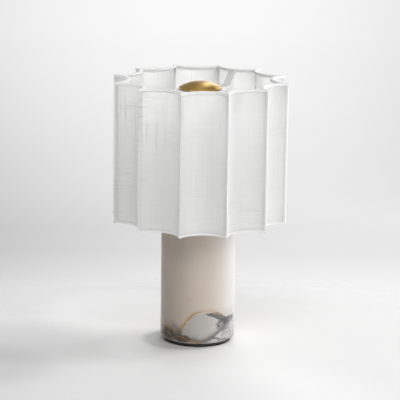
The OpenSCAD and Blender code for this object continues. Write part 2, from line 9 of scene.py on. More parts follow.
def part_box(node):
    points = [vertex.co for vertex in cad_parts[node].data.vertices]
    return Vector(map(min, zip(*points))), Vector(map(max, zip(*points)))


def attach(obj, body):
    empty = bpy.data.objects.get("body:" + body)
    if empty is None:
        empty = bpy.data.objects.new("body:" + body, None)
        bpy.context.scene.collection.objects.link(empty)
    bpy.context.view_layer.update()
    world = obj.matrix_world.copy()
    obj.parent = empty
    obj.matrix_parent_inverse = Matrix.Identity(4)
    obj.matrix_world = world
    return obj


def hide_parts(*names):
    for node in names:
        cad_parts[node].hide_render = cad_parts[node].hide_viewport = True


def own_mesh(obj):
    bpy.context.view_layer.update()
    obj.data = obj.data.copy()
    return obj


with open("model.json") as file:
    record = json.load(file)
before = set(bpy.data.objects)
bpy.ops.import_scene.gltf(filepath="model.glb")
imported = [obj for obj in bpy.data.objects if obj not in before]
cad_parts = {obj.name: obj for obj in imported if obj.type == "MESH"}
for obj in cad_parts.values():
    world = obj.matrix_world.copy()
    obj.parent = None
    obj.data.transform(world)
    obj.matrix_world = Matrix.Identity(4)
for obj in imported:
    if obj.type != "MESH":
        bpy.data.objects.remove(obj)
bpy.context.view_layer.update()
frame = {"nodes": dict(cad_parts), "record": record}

# Table lamp: marble column, fluted linen shade, brass dome as its dimmer button.
# Everything is in metres, in the same frame as the solids.
mm = 0.001
upAxis = (0, 0, 1)


def intoScene(name, data):
    thing = bpy.data.objects.new(name, data)
    bpy.context.scene.collection.objects.link(thing)
    return thing


view = {
    "place": (0, -3.0611, 0.8971),
    "down": 12.797,  # degrees below level
    "aside": 0.027,  # towards +X
    "roll": 0.784,
    "lens": 200.5,
    "sensor": 36,
    "clip": (0.05, 60),
}


def placeCamera():
    data = bpy.data.cameras.new("photoView")
    data.lens, data.sensor_width = view["lens"], view["sensor"]
    data.clip_start, data.clip_end = view["clip"]
    camera = intoScene("photoView", data)
    turn = (Matrix.Rotation(-math.radians(view["aside"]), 4, "Z")
            @ Matrix.Rotation(math.radians(90 - view["down"]), 4, "X")
            @ Matrix.Rotation(math.radians(view["roll"]), 4, "Z"))
    camera.matrix_world = Matrix.Translation(view["place"]) @ turn
    bpy.context.scene.camera = camera


placeCamera()
print("camera placed")


# A socket of a material, with arithmetic
class Wire:
    def __init__(self, recipe, socket):
        self.recipe, self.socket = recipe, socket

    def maths(self, operation, *others):
        return self.recipe.node("Math", {"operation": operation}, dict(enumerate((self,) + others)))

    def __add__(self, other):
        return self.maths("ADD", other)

    def __sub__(self, other):
        return self.maths("SUBTRACT", other)

    def __rsub__(self, other):
        return self.recipe.node("Math", {"operation": "SUBTRACT"}, {0: other, 1: self})

    def __mul__(self, other):
        return self.maths("MULTIPLY", other)

    def __truediv__(self, other):
        return self.maths("DIVIDE", other)

    def __neg__(self):
        return self.maths("MULTIPLY", -1)

    __radd__ = __add__
    __rmul__ = __mul__

    def size(self):
        return self.maths("ABSOLUTE")

    def most(self, other):
        return self.maths("MAXIMUM", other)

    def least(self, other):
        return self.maths("MINIMUM", other)

    def sine(self):
        return self.maths("SINE")

    def rise(self, low, high):
        # 0 below low and 1 above high, or the other way round when low is above high
        lowest, highest, start, end = (low, high, 0, 1) if low < high else (high, low, 1, 0)
        inputs = {0: self, 1: lowest, 2: highest, 3: start, 4: end}
        return self.recipe.node("MapRange", {"interpolation_type": "SMOOTHSTEP"}, inputs)

    def line(self, points):
        # height of the smooth line through points, at this value
        left, right = points[0][0], points[-1][0]
        low = min(y for x, y in points)
        span = max(y for x, y in points) - low
        curve = [((x - left) / (right - left), (y - low) / span) for x, y in points]
        along = ((self - left) / (right - left)).most(0).least(1)
        return self.recipe.node("FloatCurve", {"curve": curve}, {"Value": along}) * span + low


# A material or a world being drawn, node by node
class Recipe:
    def __init__(self, name, owner=None):
        self.owner = owner or bpy.data.materials.new(name)
        self.owner.use_nodes = True
        self.tree = self.owner.node_tree
        self.tree.nodes.clear()

    def node(self, kind, settings=None, inputs=None, output=0):
        made = self.tree.nodes.new("ShaderNode" + kind)
        for key, value in (settings or {}).items():
            if key == "stops":
                elements = made.color_ramp.elements
                while len(elements) < len(value):
                    elements.new(1)
                for element, (place, colour) in zip(elements, value):
                    element.position, element.color = place, (*colour, 1)
            elif key == "curve":
                points = made.mapping.curves[0].points
                while len(points) < len(value):
                    points.new(1, 1)
                for point, place in zip(points, value):
                    point.location = place
                made.mapping.update()
            else:
                setattr(made, key, value)
        for key, value in (inputs or {}).items():
            socket = made.inputs[key]
            if isinstance(value, Wire):
                self.tree.links.new(value.socket, socket)
            elif socket.type == "RGBA":
                socket.default_value = (*value, 1)
            else:
                socket.default_value = value
        return Wire(self, made.outputs[output]) if made.outputs else self.owner

    def place(self, kind="Object"):
        return self.node("TexCoord", output=kind)

    def parts(self, vector):
        split = self.node("SeparateXYZ", inputs={0: vector}).socket.node
        return [Wire(self, socket) for socket in split.outputs]

    def join(self, x=0.0, y=0.0, z=0.0):
        return self.node("CombineXYZ", inputs={0: x, 1: y, 2: z})

    def stretch(self, vector, scale):
        return self.node("Mapping", inputs={"Vector": vector, "Scale": scale})

    def grain(self, vector, scale=1.0, detail=2.0, rough=0.5, bend=0.0):
        inputs = {"Vector": vector, "Scale": scale, "Detail": detail, "Roughness": rough, "Distortion": bend}
        return self.node("TexNoise", inputs=inputs)

    def blend(self, share, first, second):
        return self.node("Mix", {"data_type": "RGBA"}, {0: share, 6: first, 7: second}, output=2)

    def bump(self, height, depth, strength=1.0):
        return self.node("Bump", inputs={"Height": height, "Distance": depth, "Strength": strength})

    def surface(self, sockets):
        return self.node("OutputMaterial", inputs={"Surface": self.node("BsdfPrincipled", inputs=sockets)})


marble = {
    "radius": 52.5,  # millimetres, as are the lines and spots below
    "cream": (0.68, 0.59, 0.51),
    "pale": (0.715, 0.64, 0.57),
    "quartz": (0.535, 0.52, 0.505),
    "paintedLightWhite": (0.80, 0.785, 0.765),
    "paintedShadeBrown": (0.25, 0.195, 0.145),
    "gold": (0.52, 0.33, 0.13),
    "rust": (0.34, 0.17, 0.07),
    "umber": (0.07, 0.05, 0.034),
    "slate": (0.105, 0.10, 0.11),
    "smoke": (0.27, 0.265, 0.27),
    # lines: distance round the front from its middle, then height above the table, width or strength
    "arch": [(-80, 25), (-58, 23.5), (-44, 25), (-35, 23), (-29, 21), (-24, 26.5), (-18.7, 33.4),
             (-13.9, 40.2), (-7.2, 46.3), (-0.8, 50.6), (4.8, 52.8), (11.4, 53.3), (18, 52.2),
             (24, 50.6), (30, 48.6), (37, 44.5), (43, 40.5), (48, 39), (56, 39), (68, 41), (80, 43)],
    "archWidth": [(-80, 0.8), (-44, 1.4), (-30, 2.6), (-19, 3.2), (-7, 2.6), (2, 1.4), (14, 0.5), (22, 0.9),
                  (36, 1.3), (50, 0.9), (68, 0.6), (80, 0.5)],
    "archStrength": [(-80, 0.5), (-34, 0.6), (-24, 0.95), (-4, 0.95), (6, 0.45), (18, 0.35), (30, 0.8),
                     (80, 0.5)],
    "bandWidth": [(11, 0.4), (16, 2.0), (22, 3.2), (28, 4.4), (40, 5.2), (54, 2)],
    "base": [(-80, 10), (-58, 12), (-48, 9), (-35, 12), (-24.6, 15), (-12.5, 10.6), (-8.3, 10.6), (1.4, 8.8),
             (4.7, 8.8), (12.8, 11), (17, 13), (23, 14.8), (28.4, 18.8), (37.4, 24.5), (45, 30), (56, 34),
             (80, 36)],
    "lower": [(20, 15), (28.8, 12.9), (37.7, 9.9), (45.8, 9.6), (56, 7), (64, 9), (69, 20), (74, 34),
              (80, 40)],
    # spots: distance round, height, reach across and reach up
    "leftPatches": [(-47, 16, 17, 10.5), (-23, 12.5, 14, 6)],
    "rightPatches": [(41, 32, 14, 11), (54, 38, 14, 4)],
    "leftHalo": (-38, 20, 25, 17),
    "archFoot": (-33, 23, 11, 9),
    "leftDots": (-27, 20, 6, 5.5),
    "rightDots": (34, 9, 6, 2.4),
    "crackField": (56, 20, 26, 22),
    "crackHaze": (58, 16, 22, 18),
    "shadeShadowStreak": (-71, 165, 7, 28),
    "faintSpot": (-13.5, 70, 4.5, 3.5),
}


def marbleStone():
    r = Recipe("marble")
    p = r.place()
    x, y, z = r.parts(p)
    wide = r.grain(p, 38, 3) - 0.5
    fine = r.grain(p, 210, 4, 0.6) - 0.5
    along = x.maths("ARCTAN2", -y) * marble["radius"] + wide * 7 + fine * 2.5
    height = z * 1000 + (r.grain(p, 55, 3) - 0.5) * 6 + fine * 2.5

    def vein(key, width):
        return ((height - along.line(marble[key])).size() / width).rise(1.3, 0.2) * front

    def blob(spot):
        middle, high, across, tall = spot
        far = ((along - middle) / across).maths("POWER", 2) + ((height - high) / tall).maths("POWER", 2)
        return (far + fine * 1.2).rise(1.25, 0.35)

    def patches(key):
        first, second = marble[key]
        return (blob(first) + blob(second)).least(1) * front

    def tinted(share, name):
        return r.blend(share, colour, marble[name])

    front = along.size().rise(76, 60)
    arch = along.line(marble["arch"])
    archWidth = along.line(marble["archWidth"])
    away = (height - arch).size()
    network = (r.grain(p, 62, 5, 0.62, 0.8) - 0.5).size()
    swirl = r.node("TexNoise", inputs={"Vector": p, "Scale": 90.0}, output=1)
    swirl = r.stretch(swirl, (0.012, 0.012, 0.012))
    bent = r.node("VectorMath", {"operation": "ADD"}, {0: p, 1: swirl})
    cells = r.node("TexVoronoi", {"feature": "DISTANCE_TO_EDGE"}, {"Vector": bent, "Scale": 70.0})

    # the ground: cream, greyer under the arch and at the foot; painted shade makes it browner at the left,
    # away from the light, and painted light makes it whiter round the right, where the light falls
    cloudy = r.blend(r.grain(p, 16, 3).rise(0.35, 0.7), marble["cream"], marble["pale"])
    inside = (arch - height).rise(-1, 5) * (height - 4).rise(-3, 6)
    inside = inside * along.rise(-27, -14) * along.rise(62, 40)
    lowEnd = (height + wide * 14).rise(52, 16)
    colour = r.blend((inside * 0.9).most(lowEnd * 0.55), cloudy, marble["quartz"])
    # painted shade: browner towards the left, where less light falls
    colour = tinted(along.rise(25, -60) * front * 0.42, "paintedShadeBrown")
    # painted light: whiter round the right, which faces the light
    colour = tinted(along.rise(8, 62) * along.rise(150, 82) * 0.85, "paintedLightWhite")
    colour = tinted(along.rise(18, 46) * height.rise(62, 42) * front * 0.6, "quartz")
    # soft stain on the outer side of the arch
    stain = (height - arch).rise(9, -1) * (height - arch).rise(-2, 1) * along.rise(48, 30) * front
    colour = tinted(stain * 0.34, "gold")
    colour = tinted(blob(marble["leftHalo"]) * front * 0.2, "umber")

    # mottled patches, brown at the left and grey at the right
    left, right = patches("leftPatches"), patches("rightPatches")
    spots = r.grain(p, 330, 4, 0.7).rise(0.42, 0.6)
    colour = tinted(left * (0.84 + spots * 0.14), "umber")
    colour = tinted(left * r.grain(p, 190, 3).rise(0.52, 0.66) * 0.5, "gold")
    colour = tinted(right * (0.5 + spots * 0.45), "smoke")
    colour = tinted((left * 0.6 + right).least(1) * network.rise(0.07, 0.01) * 0.8, "slate")
    # the dark band under the arch's right half
    drop = (arch - 4 - height).size() / along.line(marble["bandWidth"])
    band = (drop + fine * 1.4).rise(1.2, 0.75) * along.rise(10, 15) * along.rise(54, 46)
    colour = tinted(band * (0.72 + spots * 0.25), "slate")

    # the upper vein, gold at the left of the front and thin and dark at the right
    strength = along.line(marble["archStrength"]) * (0.7 + spots * 0.3)
    core = (away / archWidth + fine * 1.6).rise(1.5, 0.2) * front * strength
    tone = r.blend(along.rise(34, 42), marble["gold"], marble["slate"])
    colour = r.blend(core, colour, r.blend((away / archWidth).rise(0.6, 0.1) * 0.45, tone, marble["rust"]))

    # browner just above the lower vein, low near the foot: partly the stone's own stain and partly painted
    # shade there; and brown round the arch's left foot
    over = height - along.line(marble["base"])
    stainAndShadeOverVein = (over.rise(7, 0) * 0.6 + over.rise(14, 0) * 0.25) * over.rise(-4, 0) * along.rise(-22, -10)
    stainAndShadeOverVein = stainAndShadeOverVein * along.rise(56, 16)
    colour = tinted(stainAndShadeOverVein * front, "umber")
    footing = (core * along.rise(-18, -32) * 0.5).most(blob(marble["archFoot"]) * 0.3)
    colour = tinted(footing, "umber")

    # the lower veins
    tones = [(0.0, "slate"), (0.40, "rust"), (0.46, "gold"), (0.53, "gold"), (0.58, "smoke"), (1.0, "slate")]
    stops = [(place, marble[name]) for place, name in tones]
    lowTone = r.node("ValToRGB", {"stops": stops}, {"Fac": (along + 80) / 160})
    colour = r.blend(vein("base", along.rise(-6, 12) * 0.7 + 1.3) * 0.8, colour, lowTone)
    colour = tinted(vein("lower", 1.3) * along.rise(18, 26) * 0.8, "slate")
    leftDots = blob(marble["leftDots"]) * (0.6 + spots * 0.4)
    dots = (leftDots + blob(marble["rightDots"]) * spots).least(1) * front
    colour = tinted(dots * 0.8, "slate")

    # the stone's own fine net near the foot, stronger round the back
    net = cells.rise(0.09, 0.0) * (height + wide * 20).rise(46, 20) * (1 - front * 0.93)
    net = net * r.grain(p, 34, 2).rise(0.36, 0.6)
    netTone = r.blend(r.grain(p, 24, 2).rise(0.45, 0.6), marble["slate"], marble["gold"])
    colour = r.blend(net * 0.6, colour, netTone)
    back = (height + wide * 26).rise(34, 12) * (1 - front) * spots
    colour = tinted(back * 0.6, "smoke")
    # a painted shadow: a brown streak high on the left flank, where the shade's shadow falls
    colour = tinted(blob(marble["shadeShadowStreak"]) * 0.5, "umber")
    # finer cracks at the right of the foot
    cracks = cells.rise(0.08, 0.0) * blob(marble["crackField"]) * (0.4 + spots * 0.6)
    colour = tinted((cracks * 0.85 + blob(marble["crackHaze"]) * 0.24).least(1), "smoke")
    # one faint spot above the arch
    colour = tinted(blob(marble["faintSpot"]) * 0.22, "gold")

    rough = 0.30 + r.grain(p, 120, 3) * 0.12
    return r.surface({"Base Color": colour, "Roughness": rough, "Specular IOR Level": 0.25,
                      "Subsurface Weight": 0.08, "Subsurface Scale": 1.0,
                      "Subsurface Radius": (0.004, 0.003, 0.0022),
                      "Normal": r.bump(fine + net * -0.3, 0.00002, 0.5)})


linen = {
    "thread": 0.00115,  # metres from yarn to yarn
    "drift": 0.0009,  # how far the yarns stray
    "yarn": (0.84, 0.84, 0.835),
    "gap": (0.79, 0.79, 0.785),
    "darkerTopTone": (0.70, 0.70, 0.695),
    "slub": (0.56, 0.56, 0.56),
    "lining": (0.98, 0.98, 0.977),
    "soak": 0.9, "soakDepth": 0.0029,
    "darkerTopSpan": (0.15, 0.198),  # metres up the cloth, over which its outer face turns darker towards the top
    "few": 0.35, "many": 1.6,  # how strongly the slubs show
    # metres round the cloth and up it, where many show
    "manyFrom": (0.52, 0.62), "manyTo": (0.88, 0.8), "manyUp": (0.03, 0.13),
}


def linenCloth():
    r = Recipe("linen")
    u, v, _ = r.parts(r.place("UV"))
    lining = v.rise(0.5, 0.6)  # the inner face lies one metre up on the map
    drift = (r.grain(r.join(u, v), 90, 2) - 0.5) * linen["drift"]
    acrossThreads, alongThreads = u + drift, v + drift
    pitch = math.pi / linen["thread"]
    warp = (acrossThreads * (2 * pitch)).sine() * 0.5 + 0.5
    weft = (alongThreads * (2 * pitch)).sine() * 0.5 + 0.5
    over = (acrossThreads * pitch).sine() * (alongThreads * pitch).sine() * 0.5 + 0.5
    weave = warp * over + weft * (1 - over)
    # uneven yarns, and slubs where a yarn runs thick for a few centimetres
    warpYarns = r.grain(r.join(acrossThreads * 420, v * 5), 1, 2)
    weftYarns = r.grain(r.join(u * 6, alongThreads * 420, 8.1), 1, 2)
    yarns = warpYarns * 0.6 + weftYarns * 0.4
    warpSlub = r.grain(r.join(acrossThreads * 520, v * 9, 1.9), 1, 2, 0.6)
    warpSlub = warpSlub + r.grain(r.join(u, v, 0.4), 15, 1) * 0.35
    weftSlub = r.grain(r.join(u * 21, alongThreads * 560, 3.7), 1, 2, 0.6)
    weftSlub = weftSlub + r.grain(r.join(u, v, 5.2), 17, 1) * 0.35
    slub = (warpSlub.rise(0.77, 0.92) * 0.8 + weftSlub.rise(0.77, 0.92)).least(1)
    colour = r.blend(weave.rise(0.1, 0.9) * 0.5 + yarns.rise(0.35, 0.65) * 0.5, linen["gap"], linen["yarn"])
    rich = u.rise(*linen["manyFrom"]) * u.rise(*linen["manyTo"]) * v.rise(*linen["manyUp"])
    rich = rich * (linen["many"] - linen["few"]) + linen["few"]
    colour = r.blend(slub * rich * 0.6, colour, linen["slub"])
    colour = r.blend(lining, colour, r.blend(yarns.rise(0.2, 0.5), linen["yarn"], linen["lining"]))
    # the outer face turns darker towards the top
    colour = r.blend(v.rise(*linen["darkerTopSpan"]) * (1 - lining) * 0.75, colour, linen["darkerTopTone"])
    height = (weave * 0.5 + slub * rich * 1.3) * (1 - lining * 0.8)
    # light soaks through the cloth, so the far wall's inside glows a little
    return r.surface({"Base Color": colour, "Roughness": 0.92, "Specular IOR Level": 0.2,
                      "Sheen Weight": 0.12, "Sheen Roughness": 0.5,
                      "Subsurface Weight": linen["soak"], "Subsurface Scale": 1.0,
                      "Subsurface Radius": (linen["soakDepth"],) * 3,
                      "Normal": r.bump(height, 0.00012, 0.7)})


tape = {
    "thread": 0.0006, "slant": 0.7, "radius": 0.11,  # metres from the axis, where the threads have that width
    "light": (0.98, 0.98, 0.98), "dark": (0.93, 0.93, 0.93),
    "soak": 0.4, "soakDepth": 0.0012,
}


def cottonTape():
    r = Recipe("bindingTape")
    p = r.place()
    x, y, z = r.parts(p)
    around = x.maths("ARCTAN2", y) * tape["radius"]
    ribs = ((around + z * tape["slant"]) * (2 * math.pi / tape["thread"])).sine() * 0.5 + 0.5
    fuzz = r.grain(p, 900, 3)
    colour = r.blend(ribs * 0.5 + fuzz * 0.5, tape["dark"], tape["light"])
    return r.surface({"Base Color": colour, "Roughness": 0.85, "Specular IOR Level": 0.25,
                      "Sheen Weight": 0.1, "Subsurface Weight": tape["soak"], "Subsurface Scale": 1.0,
                      "Subsurface Radius": (tape["soakDepth"],) * 3,
                      "Normal": r.bump(ribs * 0.6 + fuzz, 0.00008, 0.6)})


brass = {
    "bright": (0.92, 0.62, 0.20), "deep": (0.66, 0.36, 0.08), "roughness": 0.26,
    "fineRings": 2600, "rings": 1100, "wideRings": 260,  # rings left by the spinning, per metre
}


def spunBrass():
    r = Recipe("spunBrass")
    p = r.place()
    x, y, z = r.parts(p)
    reach = (x * x + y * y).maths("SQRT")
    fineRings = r.grain(r.join(reach * brass["fineRings"]), 1, 2)
    rings = r.grain(r.join(reach * brass["rings"], 2.0), 1, 3, 0.6)
    wide = r.grain(r.join(reach * brass["wideRings"], 5.0), 1, 2)
    tarnish = r.grain(p, 70, 3, 0.55)
    tone = rings * 0.5 + wide * 0.3 + tarnish * 0.2
    colour = r.blend(tone.rise(0.35, 0.62), brass["deep"], brass["bright"])
    rough = brass["roughness"] + (rings - 0.5) * 0.25 + (fineRings - 0.5) * 0.15
    return r.surface({"Base Color": colour, "Metallic": 1.0, "Roughness": rough,
                      "Normal": r.bump(rings * 0.7 + fineRings * 0.8, 0.00005, 0.6)})


# Each plain finish: two tones, roughness, size of its grain and depth of its relief in millimetres; some have
# a metallic share, a gloss other than 0.5, or a grain that is pulled out along an axis
finishes = {
    "black_rubber": {"tones": ((0.007, 0.007, 0.0075), (0.016, 0.016, 0.0165)), "rough": 0.8, "gloss": 0.2,
                     "grain": 700, "depth": 0.06},
    "black_steel": {"tones": ((0.02, 0.02, 0.021), (0.04, 0.04, 0.042)), "rough": 0.5, "grain": 420,
                    "depth": 0.03},
    "screw_steel": {"tones": ((0.30, 0.30, 0.31), (0.48, 0.48, 0.49)), "rough": 0.36, "metal": 1.0,
                    "grain": 900, "depth": 0.01},
    "insert_brass": {"tones": ((0.55, 0.36, 0.13), (0.80, 0.58, 0.27)), "rough": 0.34, "metal": 1.0,
                     "grain": 600, "depth": 0.01},
    "black_plastic": {"tones": ((0.03, 0.03, 0.032), (0.05, 0.05, 0.052)), "rough": 0.55, "grain": 1300,
                      "depth": 0.03},
    "port_steel": {"tones": ((0.50, 0.50, 0.51), (0.66, 0.66, 0.67)), "rough": 0.3, "metal": 1.0,
                   "grain": 1400, "depth": 0.005},
    "wire_jacket": {"tones": ((0.62, 0.62, 0.60), (0.78, 0.78, 0.76)), "rough": 0.5, "grain": 500,
                    "depth": 0.01},
    "zinc_steel": {"tones": ((0.46, 0.47, 0.49), (0.64, 0.65, 0.67)), "rough": 0.36, "metal": 1.0,
                   "grain": 160, "depth": 0.01},
    "white_metal": {"tones": ((0.80, 0.80, 0.79), (0.86, 0.86, 0.85)), "rough": 0.46, "grain": 900,
                    "depth": 0.02},
    "white_wire": {"tones": ((0.80, 0.80, 0.79), (0.86, 0.86, 0.855)), "rough": 0.4, "grain": 1100,
                   "depth": 0.02},
    "bare_aluminium": {"tones": ((0.58, 0.59, 0.60), (0.76, 0.77, 0.78)), "rough": 0.4, "metal": 1.0,
                       "grain": 1200, "depth": 0.01, "pull": (1, 1, 0.04)},
    "opal_plastic": {"tones": ((0.84, 0.83, 0.80), (0.89, 0.88, 0.85)), "rough": 0.38, "grain": 240,
                     "depth": 0.01},
    "white_plastic": {"tones": ((0.78, 0.78, 0.76), (0.85, 0.85, 0.83)), "rough": 0.45, "grain": 1000,
                      "depth": 0.02},
    "spring_steel": {"tones": ((0.42, 0.42, 0.43), (0.62, 0.62, 0.63)), "rough": 0.3, "metal": 1.0,
                     "grain": 1500, "depth": 0.005},
}


def plainFinish(name, look):
    r = Recipe(name)
    p = r.place()
    stretched = r.stretch(p, look.get("pull", (1, 1, 1)))
    small = r.grain(stretched, look["grain"], 3, 0.55)
    large = r.grain(p, 45, 2)
    colour = r.blend((small * 0.6 + large * 0.4).rise(0.3, 0.7), *look["tones"])
    return r.surface({"Base Color": colour, "Metallic": look.get("metal", 0.0),
                      "Specular IOR Level": look.get("gloss", 0.5),
                      "Roughness": look["rough"] + (small - 0.5) * 0.2 + (large - 0.5) * 0.1,
                      "Normal": r.bump(small, look["depth"] * mm, 0.6)})


board = {"mask": (0.02, 0.13, 0.06), "trace": (0.04, 0.22, 0.10), "tin": (0.55, 0.56, 0.55), "pitch": 0.0032,
         "padScale": 190.0, "flat": (1, 1, 0)}


def circuitBoard():
    r = Recipe("circuitBoard")
    p = r.place()
    x, y, z = r.parts(p)
    flat = r.stretch(p, board["flat"])
    sideways = r.grain(flat, 80, 0).rise(0.49, 0.51)  # fields where the tracks run the other way
    lines = ((x * sideways + y * (1 - sideways)) * (2 * math.pi / board["pitch"])).sine().rise(0.35, 0.55)
    pads = r.node("TexVoronoi", inputs={"Vector": flat, "Scale": board["padScale"]}).rise(0.16, 0.12)
    colour = r.blend(lines, board["mask"], board["trace"])
    colour = r.blend(pads * 0.8, colour, board["tin"])
    return r.surface({"Base Color": colour, "Roughness": 0.42 - pads * 0.1, "Metallic": pads * 0.6,
                      "Normal": r.bump(lines + pads, 0.00003, 0.6)})


cell = {
    "wrap": (0.05, 0.20, 0.11), "tint": (0.08, 0.27, 0.16), "can": (0.55, 0.55, 0.56),
    "capFrom": (0.0714, 0.072), "baseFrom": (0.0088, 0.0084),  # heights from which the can is bare
}


def cellWrap():
    r = Recipe("cellWrap")
    p = r.place()
    x, y, z = r.parts(p)
    bare = (z.rise(*cell["capFrom"]) + z.rise(*cell["baseFrom"])).least(1)
    crinkle = r.grain(r.stretch(p, (1, 1, 0.15)), 300, 3)
    colour = r.blend(bare, r.blend(crinkle, cell["wrap"], cell["tint"]), cell["can"])
    return r.surface({"Base Color": colour, "Metallic": bare, "Roughness": 0.32 + crinkle * 0.12,
                      "Normal": r.bump(crinkle, 0.00004, 0.5)})


leds = {
    "lamp": (0.85, 0.62, 0.12), "mask": (0.84, 0.84, 0.83), "track": (0.6, 0.6, 0.6),
    "face": (0.0165, 0.0167),  # metres from the axis, beyond which it is a lamp and no longer the board
    "pitch": 0.0048,  # from track to track
}


def ledBoard():
    r = Recipe("ledBoard")
    p = r.place()
    x, y, z = r.parts(p)
    sixth = math.pi / 3
    fold = y.maths("ARCTAN2", x).maths("FLOORED_MODULO", sixth) - sixth / 2
    away = (x * x + y * y).maths("SQRT") * fold.maths("COSINE")
    lamp = away.rise(*leds["face"])
    tracks = (z * (2 * math.pi / leds["pitch"])).sine().rise(0.7, 0.8) * 0.3
    speck = r.grain(p, 1500, 2)
    colour = r.blend(lamp, r.blend(tracks, leds["mask"], leds["track"]), leds["lamp"])
    return r.surface({"Base Color": colour, "Roughness": 0.3 + speck * 0.2,
                      "Normal": r.bump(speck, 0.00001, 0.4)})


looks = {name: plainFinish(name, look) for name, look in finishes.items()}
looks.update(marble=marbleStone(), linen=linenCloth(), binding_tape=cottonTape(), spun_brass=spunBrass(),
             circuit_board=circuitBoard(), cell_wrap=cellWrap(), led_board=ledBoard())
slotOf = {part["node"]: part["material_slot"] for part in frame["record"]["subparts"]}
bodies = frame["record"]["behaviour"]["bodies"]
bodyOf = {node: body for body, nodes in bodies.items() for node in nodes}
for name, solid in frame["nodes"].items():
    solid.data.materials.clear()
    solid.data.materials.append(looks[slotOf[name]])
print("materials drawn:", len(looks))


# Ways of making pieces, used by all of them
doublesWithin = 1e-6  # metres


def meshOf(bm, name):
    # makes a mesh of the shape, which is then let go
    mesh = bpy.data.meshes.new(name)
    bm.to_mesh(mesh)
    bm.free()
    return mesh


def putPiece(bm, name, *nodes, sharp=35, look=None):
    bmesh.ops.remove_doubles(bm, verts=bm.verts, dist=doublesWithin)
    bmesh.ops.recalc_face_normals(bm, faces=bm.faces)
    return putMesh(meshOf(bm, name), name, *nodes, sharp=sharp, look=look)


def putMesh(mesh, name, *nodes, sharp=35, look=None):
    look = look or slotOf[nodes[0]]
    mesh.materials.clear()
    mesh.materials.append(looks[look])
    mesh.polygons.foreach_set("use_smooth", [True] * len(mesh.polygons))
    mesh.set_sharp_from_angle(angle=math.radians(sharp))
    piece = intoScene(name, mesh)
    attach(piece, bodyOf[nodes[0]])
    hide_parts(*nodes)
    return piece


def spinRound(bm, steps):
    geometry = bm.verts[:] + bm.edges[:]
    bmesh.ops.spin(bm, geom=geometry, cent=(0, 0, 0), axis=upAxis, angle=2 * math.pi, steps=steps,
                   use_merge=True)
    bmesh.ops.remove_doubles(bm, verts=bm.verts, dist=doublesWithin)


def copiesRound(bm, count, first):
    # turns what is there by first degrees, and repeats it count times round the axis
    bmesh.ops.rotate(bm, cent=(0, 0, 0), matrix=Matrix.Rotation(math.radians(first), 3, "Z"), verts=bm.verts)
    geometry = bm.verts[:] + bm.edges[:] + bm.faces[:]
    bmesh.ops.spin(bm, geom=geometry, cent=(0, 0, 0), axis=upAxis, angle=2 * math.pi * (count - 1) / count,
                   steps=count - 1, use_duplicate=True)


def vertsOf(result, key="geom"):
    return [part for part in result[key] if isinstance(part, bmesh.types.BMVert)]


def edgesOf(result, key="geom"):
    return [part for part in result[key] if isinstance(part, bmesh.types.BMEdge)]


def growUp(bm, edges, step):
    # extrudes the edges straight up and returns the new ones
    grown = bmesh.ops.extrude_edge_only(bm, edges=edges)
    bmesh.ops.translate(bm, vec=(0, 0, step), verts=vertsOf(grown))
    return edgesOf(grown)


def onCircle(reach, degrees, height):
    a = math.radians(degrees)
    return Matrix.Translation((reach * mm * math.cos(a), reach * mm * math.sin(a), height * mm))


def turned(profile, rounds, steps=128, shut=True):
    # profile: corners as (radius, height) in millimetres; rounds: corner number to its radius
    bm = bmesh.new()
    corners = [bm.verts.new((x * mm, 0, z * mm)) for x, z in profile]
    for pair in zip(corners, corners[1:] + corners[:1] if shut else corners[1:]):
        bm.edges.new(pair)
    for number, radius in rounds.items():
        bmesh.ops.bevel(bm, geom=[corners[number]], offset=radius * mm, segments=5, profile=0.5,
                        affect="VERTICES", material=-1)
    spinRound(bm, steps)
    return bm


def cutAway(bm, *tools):
    # cuts round holes out of the shape; each tool is (radius, depth, matrix)
    bmesh.ops.recalc_face_normals(bm, faces=bm.faces)
    blank = intoScene("blank", meshOf(bm, "blank"))
    cutters = []
    for radius, depth, matrix in tools:
        tool = bmesh.new()
        bmesh.ops.create_cone(tool, cap_ends=True, segments=64, radius1=radius, radius2=radius, depth=depth,
                              matrix=matrix)
        cutter = intoScene("cutter", meshOf(tool, "cutter"))
        change = blank.modifiers.new("cut", "BOOLEAN")
        change.operation, change.solver, change.object = "DIFFERENCE", "EXACT", cutter
        cutters.append(cutter)
    bpy.context.view_layer.update()
    solid = blank.evaluated_get(bpy.context.evaluated_depsgraph_get())
    result = bpy.data.meshes.new_from_object(solid)
    for thing in [blank] + cutters:
        bpy.data.objects.remove(thing)
    return result


screwTurns = (30, 150, 270)  # degrees round the axis, in the foot and in the head

column = {
    "profile": [(5.15, 200), (52.5, 200), (52.5, 5), (34, 5), (34, 124), (5.15, 124)],
    "rounds": {1: 2, 2: 5},
    "steps": 192,
    "portRadius": 8.0, "portHeight": 25.0, "portMiddle": 43, "portDepth": 30,
    "wellRadius": 3.3, "wellDepth": 14.0, "wellCircle": 40.5, "wellLow": 5,
}


def makeColumn():
    bm = turned(column["profile"], column["rounds"], column["steps"])
    middle = Matrix.Translation((0, column["portMiddle"] * mm, column["portHeight"] * mm))
    port = middle @ Matrix.Rotation(math.pi / 2, 4, "X")
    tools = [(column["portRadius"] * mm, column["portDepth"] * mm, port)]
    for turn in screwTurns:
        place = onCircle(column["wellCircle"], turn, column["wellLow"])
        tools.append((column["wellRadius"] * mm, 2 * column["wellDepth"] * mm, place))
    putMesh(cutAway(bm, *tools), "marbleBody", "marble_column")


foot = {"profile": [(0, 0), (47, 0), (47, 2), (0, 2)], "rounds": {1: 0.5, 2: 0.3}, "steps": 160}

makeColumn()
putPiece(turned(foot["profile"], foot["rounds"], foot["steps"], shut=False), "footDisc", "foot_pad")
print("column made")

